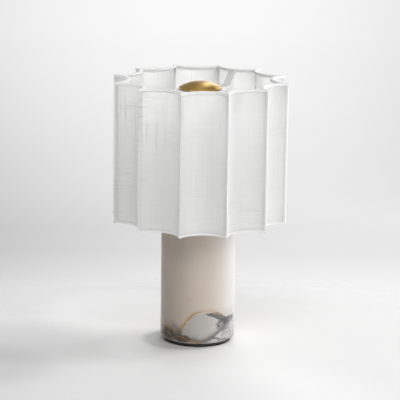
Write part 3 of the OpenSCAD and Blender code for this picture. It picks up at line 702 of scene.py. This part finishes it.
# Each turned fitting: its node, its profile, and its rounded corners
fittings = {
    "columnPlate": ("column_cap", [(5.15, 200), (42, 200), (42, 204), (35.4, 204), (35.4, 208), (5.15, 208)],
                    {1: 0.4, 2: 0.8, 4: 0.6}),
    "lightTube": ("diffuser", [(35.5, 204), (38, 204), (38, 349), (35.5, 349)],
                  {0: 0.5, 1: 0.5, 2: 0.5, 3: 0.5}),
    "seatRing": ("hub_ring", [(33, 352), (43, 352), (43, 354), (33, 354)], {0: 0.3, 1: 0.3, 2: 0.5, 3: 0.5}),
    "bushRing": ("guide_bush", [(3.05, 351), (5, 351), (5, 360.5), (8.5, 360.5), (8.5, 361.5), (3.05, 361.5)],
                 {1: 0.3, 4: 0.3}),
}
for name, (node, profile, rounds) in fittings.items():
    putPiece(turned(profile, rounds), name, node)

headCup = {
    "profile": [(5, 360.5), (32.7, 360.5), (32.7, 352), (40, 352), (40, 349), (35.4, 349), (35.4, 337),
                (30.2, 337), (30.2, 358), (5, 358)],
    "rounds": {1: 0.8, 3: 0.8, 4: 0.6, 6: 0.4},
    "bossRadius": 4, "bossLow": 342.1, "bossTop": 358.2, "bossCircle": 24,
}


def makeHeadCup():
    bm = turned(headCup["profile"], headCup["rounds"])
    low, high = headCup["bossLow"], headCup["bossTop"]
    radius = headCup["bossRadius"] * mm
    for turn in screwTurns:
        bmesh.ops.create_cone(bm, cap_ends=True, segments=32, radius1=radius, radius2=radius,
                              depth=(high - low) * mm,
                              matrix=onCircle(headCup["bossCircle"], turn, (low + high) / 2))
    putPiece(bm, "headCup", "head_cap")


makeHeadCup()

domeCap = {
    "radius": 56.625, "wall": 1.0, "centre": 314.975, "low": 363.0, "lip": 0.8, "edgeRound": 0.25,
    "steps": 22, "roundSteps": 192,
}


def makeDome():
    # a shallow cap of even wall, with a short straight lip
    bm = bmesh.new()
    centre = (0, 0, domeCap["centre"] * mm)
    ends = []
    for radius in (domeCap["radius"], domeCap["radius"] - domeCap["wall"]):
        pole = bm.verts.new((0, 0, (domeCap["centre"] + radius) * mm))
        opening = math.acos((domeCap["low"] - domeCap["centre"]) / radius)
        spun = bmesh.ops.spin(bm, geom=[pole], cent=centre, axis=(0, 1, 0), angle=opening,
                              steps=domeCap["steps"])
        end = vertsOf(spun, "geom_last")[0]
        ends.append(bm.verts.new(end.co - Vector((0, 0, domeCap["lip"] * mm))))
        bm.edges.new((end, ends[-1]))
    bm.edges.new(ends)
    for corner in ends:
        bmesh.ops.bevel(bm, geom=[corner], offset=domeCap["edgeRound"] * mm, segments=3, profile=0.5,
                        affect="VERTICES", material=-1)
    spinRound(bm, domeCap["roundSteps"])
    putPiece(bm, "brassDome", "dome", sharp=50)


makeDome()

coil = {"reach": 5.5, "wire": 0.7, "turns": 4, "stepsPerTurn": 40, "sides": 12, "gap": 0.03, "press": 1.5}


def makeCoil():
    # the spring under the dome, which shortens as the dome is pressed; here it is made at full length only
    low, high = (corner.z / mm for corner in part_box("return_spring"))
    low, high = low + coil["gap"], high - coil["gap"]
    bm = bmesh.new()
    start = Matrix.Translation((coil["reach"] * mm, 0, (low + coil["wire"] / 2) * mm))
    bmesh.ops.create_circle(bm, cap_ends=True, segments=coil["sides"], radius=coil["wire"] / 2 * mm,
                            matrix=start @ Matrix.Rotation(math.pi / 2, 4, "X"))
    steps = coil["turns"] * coil["stepsPerTurn"]
    rise = (high - low - coil["wire"]) / steps * mm
    bmesh.ops.spin(bm, geom=bm.faces[:], cent=(0, 0, 0), axis=upAxis, dvec=(0, 0, rise),
                   angle=2 * math.pi * coil["turns"], steps=steps)
    piece = putPiece(bm, "springCoil", "return_spring", sharp=60)
    tall = high - low
    keep = (tall - coil["press"] - coil["gap"]) / tall
    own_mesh(piece)


makeCoil()
print("head, dome and spring made")


# The shade in plan: hollow arcs whose centres lie outside it, joined by narrow rounded folds
plan = {
    "flutes": 12,
    "firstRib": 18,
    "middle": 102.14,  # millimetres from the axis to the deepest line of a flute
    "point": 126.45,  # where the two arcs of a fold would meet
    "fold": 0.6,  # radius of the cloth round a fold
    "arcSteps": 26,
    "foldSteps": 6,
    "weld": 2e-6,  # metres within which the ends of two arcs are one
}
# an arc's radius and the distance of its centre from the axis
halfStep = math.pi / plan["flutes"]
halfChord = plan["point"] * math.sin(halfStep)
deep = plan["point"] * math.cos(halfStep) - plan["middle"]
arcRadius = (halfChord ** 2 + deep ** 2) / (2 * deep)
arcCentre = plan["middle"] + arcRadius


def foldAt(reach):
    # how far from the axis two neighbouring arcs of that radius cross
    return arcCentre * math.cos(halfStep) - math.sqrt(reach ** 2 - (arcCentre * math.sin(halfStep)) ** 2)


def flutedLoop(bm, inset, fold, height):
    # one closed line round the shade, inset from the cloth's face; returns its edges
    old = set(bm.verts)
    reach, z = arcRadius + inset, height * mm
    foldX, foldY = foldAt(reach + fold) * math.cos(halfStep), foldAt(reach + fold) * math.sin(halfStep)
    half = math.atan2(foldY, arcCentre - foldX)
    start = bm.verts.new(((arcCentre - reach * math.cos(half)) * mm, -reach * math.sin(half) * mm, z))
    spun = bmesh.ops.spin(bm, geom=[start], cent=(arcCentre * mm, 0, z), axis=upAxis, angle=-2 * half,
                          steps=plan["arcSteps"])
    bmesh.ops.spin(bm, geom=vertsOf(spun, "geom_last"), cent=(foldX * mm, foldY * mm, z), axis=upAxis,
                   angle=2 * (halfStep + half), steps=plan["foldSteps"])
    verts = [v for v in bm.verts if v not in old]
    turn = Matrix.Rotation(math.radians(plan["firstRib"]) + halfStep, 4, "Z")
    bmesh.ops.transform(bm, matrix=turn, verts=verts)
    edges = list({e for v in verts for e in v.link_edges})
    bmesh.ops.spin(bm, geom=verts + edges, cent=(0, 0, z), axis=upAxis, angle=2 * math.pi - 2 * halfStep,
                   steps=plan["flutes"] - 1, use_duplicate=True)
    verts = [v for v in bm.verts if v not in old]
    bmesh.ops.remove_doubles(bm, verts=verts, dist=plan["weld"])
    return list({e for v in bm.verts if v not in old for e in v.link_edges})


def sweptRim(sections):
    # joins loops, given as (inset, fold, height), into one closed tube
    bm = bmesh.new()
    loops = [flutedLoop(bm, *section) for section in sections]
    for here, there in zip(loops, loops[1:] + loops[:1]):
        bmesh.ops.bridge_loops(bm, edges=here + there)
    return bm


cloth = {
    "thick": 0.8, "bottom": 175.6, "top": 374.4, "seamAt": 108,
    "innerFold": 0.35, "innerShort": 0.1,  # the inner face stops a hair short of the outer one at both edges
    "wave": 0.3, "wavesRound": 30, "wavesUp": 2.2,  # slack between the wires
    # the rings hold it out, and it draws in beyond each binding
    "pinch": 0.8, "pinchFrom": 3.2, "pinchOver": 2.4,
    "nearRows": (1.6, 3.2, 3.8, 4.5, 5.2, 6, 7, 8.5, 10.5, 13, 16, 20), "midRows": 24,
}


def walkRound(edges):
    # distance round a closed line, for each of its points, from the fold that carries the seam
    a = math.radians(cloth["seamAt"])
    line = set(edges)
    here = max((v for e in edges for v in e.verts), key=lambda v: v.co.x * math.cos(a) + v.co.y * math.sin(a))
    places, gone = {}, 0.0
    came = min((e for e in here.link_edges if e in line), key=lambda e: e.other_vert(here).co.x)
    while here not in places:
        places[here] = gone
        came = next(e for e in here.link_edges if e in line and e is not came)
        gone += came.calc_length()
        here = came.other_vert(here)
    return places, gone


def makeCloth():
    bm = bmesh.new()
    rims, along, inner = [], {}, set()
    tall = cloth["top"] - cloth["bottom"]
    last = cloth["nearRows"][-1]
    middle = [last + (tall - 2 * last) * k / cloth["midRows"] for k in range(1, cloth["midRows"])]
    rows = [*cloth["nearRows"], *middle, *(tall - near for near in reversed(cloth["nearRows"])), tall]
    faces = ((0, plan["fold"], 0), (cloth["thick"], cloth["innerFold"], cloth["innerShort"]))
    for inset, fold, short in faces:
        edges = flutedLoop(bm, inset, fold, cloth["bottom"] + short)
        places, length = walkRound(edges)
        for v, gone in places.items():
            along[round(v.co.x, 7), round(v.co.y, 7)] = gone / length
        bottom, old = edges, set(bm.verts) - set(places)
        for low, high in zip([0, *rows], rows):
            edges = growUp(bm, edges, (high - low) * (tall - 2 * short) / tall * mm)
        rims.append((bottom, edges))
        if short:
            inner = set(bm.verts) - old
    for outer, inside in zip(*rims):
        bmesh.ops.bridge_loops(bm, edges=outer + inside)
    bmesh.ops.recalc_face_normals(bm, faces=bm.faces)
    # the weave follows the cloth: its own map, in metres round the shade and up it
    weave = bm.loops.layers.uv.new("weave")
    share = {v: along[round(v.co.x, 7), round(v.co.y, 7)] for v in bm.verts}
    for face in bm.faces:
        shares = [share[loop.vert] for loop in face.loops]
        crosses = max(shares) - min(shares) > 0.5
        up = 1.0 if all(v in inner for v in face.verts) else 0.0
        for loop, value in zip(face.loops, shares):
            around = value + (crosses and value < 0.5)
            loop[weave].uv = (around * length, loop.vert.co.z - cloth["bottom"] * mm + up)
    # a little slack between the frame's wires, and drawn in beyond each binding
    for v in bm.verts:
        up = v.co.z / mm - cloth["bottom"]
        across = abs(math.sin(math.pi * share[v] * plan["flutes"]))
        wave = noise.noise(Vector((share[v] * cloth["wavesRound"], up / tall * cloth["wavesUp"], 1.3)))
        slack = wave * math.sin(math.pi * up / tall) * cloth["wave"]
        edge = max(min(up, tall - up) - cloth["pinchFrom"], 0) / cloth["pinchOver"]
        pinch = cloth["pinch"] * edge * math.exp(1 - edge)
        v.co.xy *= 1 + (slack * across - pinch * min(across * 3, 1)) * mm / v.co.xy.length
    return putPiece(bm, "shadeCloth", "shade_fabric", sharp=50), length


rim = {"top": 375, "bottom": 175, "proud": 0.9, "inside": 4.8, "tall": 3.5, "tape": 0.55, "innerFold": 0.3,
       "square": 3.2, "steps": 11, "open": 55}


def rimSections(edgeHeight, up):
    # the tape's outline goes over the rim from outside to inside, and comes back inside its thickness
    middle = (rim["inside"] - rim["proud"]) / 2
    wide, tall = (rim["inside"] + rim["proud"]) / 2, rim["tall"] / 2
    sections = []
    for inner, order in ((0, 1), (rim["tape"], -1)):
        for k in range(rim["steps"])[::order]:
            a = math.radians(180 + rim["open"] - (180 + 2 * rim["open"]) * k / (rim["steps"] - 1))
            across = math.copysign(abs(math.cos(a)) ** (2 / rim["square"]), math.cos(a)) * (wide - inner)
            over = math.copysign(abs(math.sin(a)) ** (2 / rim["square"]), math.sin(a)) * (tall - inner)
            inset = middle + across
            fold = max(plan["fold"] - inset, rim["innerFold"])
            sections.append((inset, fold, edgeHeight + up * (over - tall)))
    return sections


wires = {"top": 372.9, "bottom": 177.1, "radius": 1.4, "inset": 2.6, "fold": 0.3, "steps": 10}


def wireSections(height):
    sections = []
    for k in range(wires["steps"]):
        a = 2 * math.pi * (k + 0.5) / wires["steps"]
        inset = wires["inset"] + wires["radius"] * math.cos(a)
        sections.append((inset, wires["fold"], height + wires["radius"] * math.sin(a)))
    return sections


ribs = {"radius": 1.25, "bottom": 178.7, "top": 371.3, "sides": 18, "rows": 64, "wrap": 5.5, "relief": 0.09}


def makeRibs():
    # upright wires wound with tape, one in each fold, touching the cloth on both sides
    bm = bmesh.new()
    tall = ribs["top"] - ribs["bottom"]
    out = foldAt(arcRadius + cloth["thick"] + ribs["radius"])
    bmesh.ops.create_circle(bm, segments=ribs["sides"], radius=ribs["radius"] * mm)
    edges = bm.edges[:]
    for row in range(ribs["rows"]):
        edges = growUp(bm, edges, tall / ribs["rows"] * mm)
    for v in bm.verts:
        turn = (v.co.z / mm / ribs["wrap"] + math.atan2(v.co.y, v.co.x) / (2 * math.pi)) % 1
        v.co.xy *= 1 - ribs["relief"] * turn
    bmesh.ops.holes_fill(bm, edges=[e for e in bm.edges if e.is_boundary], sides=ribs["sides"])
    bmesh.ops.translate(bm, vec=(out * mm, 0, ribs["bottom"] * mm), verts=bm.verts)
    copiesRound(bm, plan["flutes"], plan["firstRib"])
    putPiece(bm, "ribTapes", "rib_wires", sharp=60, look="binding_tape")


shadeCloth, clothLength = makeCloth()
topRoll = putPiece(sweptRim(rimSections(rim["top"], 1)), "topRoll", "top_binding", sharp=60)
bottomRoll = putPiece(sweptRim(rimSections(rim["bottom"], -1)), "bottomRoll", "bottom_binding", sharp=60)
topWire = putPiece(sweptRim(wireSections(wires["top"])), "topWire", "top_ring", sharp=60)
bottomWire = putPiece(sweptRim(wireSections(wires["bottom"])), "bottomWire", "bottom_ring", sharp=60)
makeRibs()
print("shade made, cloth round it", round(clothLength, 3))


arm = {"wide": 10, "thick": 2, "start": 34.5, "low": 354, "bend": 82, "endReach": 98.15, "endLow": 370.7,
       "bendRadius": 6, "bendSteps": 8, "edgeRound": 0.35, "turns": 3, "first": 63}


def makeArms():
    # a flat strip that runs level from the seat ring and bends up to the top wire
    slope = math.atan2(arm["endLow"] - arm["low"], arm["endReach"] - arm["bend"])
    before = arm["bend"] - arm["bendRadius"] * math.tan(slope / 2)
    bm = bmesh.new()
    half = arm["wide"] / 2
    ends = [bm.verts.new((arm["start"] * mm, side * mm, arm["low"] * mm)) for side in (-half, half)]
    grown = bmesh.ops.extrude_edge_only(bm, edges=[bm.edges.new(ends)])
    verts = vertsOf(grown)
    bmesh.ops.translate(bm, vec=((before - arm["start"]) * mm, 0, 0), verts=verts)
    centre = (before * mm, 0, (arm["low"] + arm["bendRadius"]) * mm)
    spun = bmesh.ops.spin(bm, geom=verts + edgesOf(grown), cent=centre, axis=(0, -1, 0), angle=slope,
                          steps=arm["bendSteps"])
    grown = bmesh.ops.extrude_edge_only(bm, edges=edgesOf(spun, "geom_last"))
    verts = vertsOf(grown)
    rest = arm["endReach"] * mm - verts[0].co.x
    bmesh.ops.translate(bm, vec=(rest, 0, rest * math.tan(slope)), verts=verts)
    bmesh.ops.recalc_face_normals(bm, faces=bm.faces)
    if bm.faces[0].normal.z > 0:
        bmesh.ops.reverse_faces(bm, faces=bm.faces)
    bmesh.ops.solidify(bm, geom=bm.faces[:], thickness=arm["thick"] * mm)
    bmesh.ops.recalc_face_normals(bm, faces=bm.faces)
    sharp = [e for e in bm.edges if e.calc_face_angle(0) > 1]
    bmesh.ops.bevel(bm, geom=sharp, offset=arm["edgeRound"] * mm, segments=2, profile=0.5, affect="EDGES",
                    material=-1)
    copiesRound(bm, arm["turns"], arm["first"])
    putPiece(bm, "flatArms", "spider_arms")


rivet = {"reach": 38, "head": 3, "rise": 1.2, "shank": 1.5, "low": 352, "seat": 356,
         "capSteps": 6, "roundSteps": 32}


def makeRivets():
    bm = bmesh.new()
    curve = (rivet["head"] ** 2 + rivet["rise"] ** 2) / (2 * rivet["rise"])
    top = rivet["seat"] + rivet["rise"]
    pole = bm.verts.new((0, 0, top * mm))
    spun = bmesh.ops.spin(bm, geom=[pole], cent=(0, 0, (top - curve) * mm), axis=(0, 1, 0),
                          angle=math.asin(rivet["head"] / curve), steps=rivet["capSteps"])
    line = vertsOf(spun, "geom_last")
    for x, z in ((rivet["shank"], rivet["seat"]), (rivet["shank"], rivet["low"]), (0, rivet["low"])):
        line.append(bm.verts.new((x * mm, 0, z * mm)))
    for pair in zip(line, line[1:]):
        bm.edges.new(pair)
    spinRound(bm, rivet["roundSteps"])
    bmesh.ops.translate(bm, vec=(rivet["reach"] * mm, 0, 0), verts=bm.verts)
    copiesRound(bm, arm["turns"], arm["first"])
    putPiece(bm, "armRivets", "spider_rivets")


makeArms()
makeRivets()
print("spider made")


# A pale floor that fades into the backdrop, and soft light, mostly from the right and a little behind
floor = {
    "radius": 1.5, "pale": (0.95, 0.95, 0.95), "dull": (0.64, 0.64, 0.64),
    "tone": 0.76,  # share of the pale colour
    "fade": (0.36, 0.72), "behind": 1.9,  # it fades sooner behind
    # painted light and shade: spots where it is painted paler, as a pool of light, or duller, as a cast
    # shadow: middle, reach and by how much; the last is a painted contact shadow close round the foot
    "tones": [
        ((-0.11, 0.13), (0.16, 0.16), 0.34), ((0.0, -0.30), (0.30, 0.26), 0.28),
        ((0.34, 0.12), (0.34, 0.5), -0.24), ((-0.30, -0.15), (0.13, 0.12), -0.34),
        ((-0.095, -0.05), (0.05, 0.06), 0.2), ((-0.22, -0.03), (0.24, 0.13), -0.33),
        ((-0.020, -0.006), (0.066, 0.064), -2.0),
    ],
}
# By degrees of elevation: brightness straight ahead, how much it grows to the right, and how much it falls
# at both sides
backdrop = {
    "middle": [(-40, 0.88), (-18, 0.88), (-16, 0.90), (-15, 0.86), (-14.3, 0.78), (-13.8, 0.75),
               (-13.2, 0.775), (-12.8, 0.80), (-11.5, 0.85), (-10.2, 0.90), (-9, 0.93), (-7.7, 0.955),
               (0, 0.95), (10, 0.60), (30, 0.40), (55, 0.42), (70, 0.60), (90, 0.60)],
    "slope": [(-40, 0.8), (-16.5, 0.8), (-15, 1.2), (-13.8, 1.26), (-12.8, 0.87), (-11.5, 0.45),
              (-10.2, 0.18), (-8, 0), (90, 0)],
    "sides": [(-40, 6), (-14, 7), (-12.8, 9.7), (-10.2, 15), (90, 15)],
}
# A tall soft box behind, above what the camera sees, for the brass to mirror: its four soft edges
softBox = {"left": (0.05, 0.11), "right": (0.28, 0.20), "foot": (0.04, 0.11), "head": (0.85, 0.65),
           "bright": 1.6}
# The light of the surroundings, from below and from above
fill = {"below": 1.15, "belowFrom": (-0.11, -0.13), "above": 0.3, "aboveFrom": (0.55, 0.65)}
lamps = {
    "keyRight": {"place": (1.9, 0.8, 0.95), "size": (1.2, 1.4), "power": 18},
    "lowRight": {"place": (2.0, 0.7, 0.35), "size": (1.2, 0.6), "power": 9},
    "frontRight": {"place": (1.6, -1.3, 1.0), "size": (1.3, 1.3), "power": 14},
    "backRight": {"place": (1.3, 1.6, 1.0), "size": (1.3, 1.3), "power": 8},
    "frontLeft": {"place": (-1.2, -2.4, 1.6), "size": (1.6, 1.6), "power": 3},
    "frontHigh": {"place": (0, -2.6, 2.6), "size": (1.6, 1.6), "power": 39},
    "topLeft": {"place": (-0.62, -0.30, 0.80), "size": (0.25, 0.25), "power": 0.036, "mirrored": False,
                "aim": (-0.10, -0.05, 0.38), "spread": 32},
    "backWide": {"place": (0.3, 2.4, 1.2), "size": (2.0, 1.3), "power": 42, "mirrored": False},
}


def makeFloor():
    r = Recipe("floor")
    x, y, z = r.parts(r.place())
    depth = y.most(0) * floor["behind"] + y.least(0)
    reach = (x * x + depth * depth).maths("SQRT")
    tone = floor["tone"]
    # painted light and shade: each spot makes the floor paler or duller where light or shadow falls
    for (midX, midY), (wide, deepness), change in floor["tones"]:
        far = ((x - midX) / wide).maths("POWER", 2) + ((y - midY) / deepness).maths("POWER", 2)
        tone = far.rise(1, 0) * change + tone
    colour = r.blend(tone, floor["dull"], floor["pale"])
    paint = r.node("BsdfPrincipled",
                   inputs={"Base Color": colour, "Roughness": 0.9, "Specular IOR Level": 0.1})
    clear = r.node("BsdfTransparent")
    mixed = r.node("MixShader", inputs={0: reach.rise(*floor["fade"]), 1: paint, 2: clear})
    r.node("OutputMaterial", inputs={"Surface": mixed})
    bm = bmesh.new()
    bmesh.ops.create_circle(bm, cap_ends=True, segments=96, radius=floor["radius"])
    ground = intoScene("floor", meshOf(bm, "floor"))
    ground.data.materials.append(r.owner)


def makeWorld():
    world = bpy.data.worlds.new("studio")
    bpy.context.scene.world = world
    r = Recipe("studio", world)
    x, y, z = r.parts(r.place("Generated"))
    tilt = z.maths("ARCSINE") * (180 / math.pi)
    side = x.most(-0.1).least(0.1)
    pale = tilt.line(backdrop["middle"]) + side * tilt.line(backdrop["slope"])
    pale = pale - side * side * tilt.line(backdrop["sides"])
    ratio = x / y.most(0.05)
    box = ratio.rise(*softBox["left"]) * ratio.rise(*softBox["right"])
    box = box * z.rise(*softBox["foot"]) * z.rise(*softBox["head"])
    shown = r.node("Background", inputs={"Color": (1, 1, 1), "Strength": pale + box * softBox["bright"]})
    level = z.rise(*fill["belowFrom"]) * fill["below"] + z.rise(*fill["aboveFrom"]) * fill["above"]
    soft = r.node("Background", inputs={"Color": (1, 1, 1), "Strength": level})
    path = r.node("LightPath").socket.node.outputs
    direct, mirrored, through = (Wire(r, path[name]) for name in
                                 ("Is Camera Ray", "Is Glossy Ray", "Is Transmission Ray"))
    share = (direct + mirrored + through).least(1)
    r.node("OutputWorld", inputs={"Surface": r.node("MixShader", inputs={0: share, 1: soft, 2: shown})})


def hangLamp(name, place, size, power, mirrored=True, aim=(0, 0, 0.2), spread=180):
    data = bpy.data.lights.new(name, "AREA")
    data.shape, data.size, data.size_y, data.energy = "RECTANGLE", size[0], size[1], power
    data.spread = math.radians(spread)
    lamp = intoScene(name, data)
    lamp.location = place
    lamp.rotation_euler = (Vector(aim) - Vector(place)).to_track_quat("-Z", "Y").to_euler()
    lamp.visible_glossy = mirrored


makeFloor()
makeWorld()
for name, lamp in lamps.items():
    hangLamp(name, **lamp)
bpy.context.scene.view_settings.view_transform = "Standard"
print("stage set")
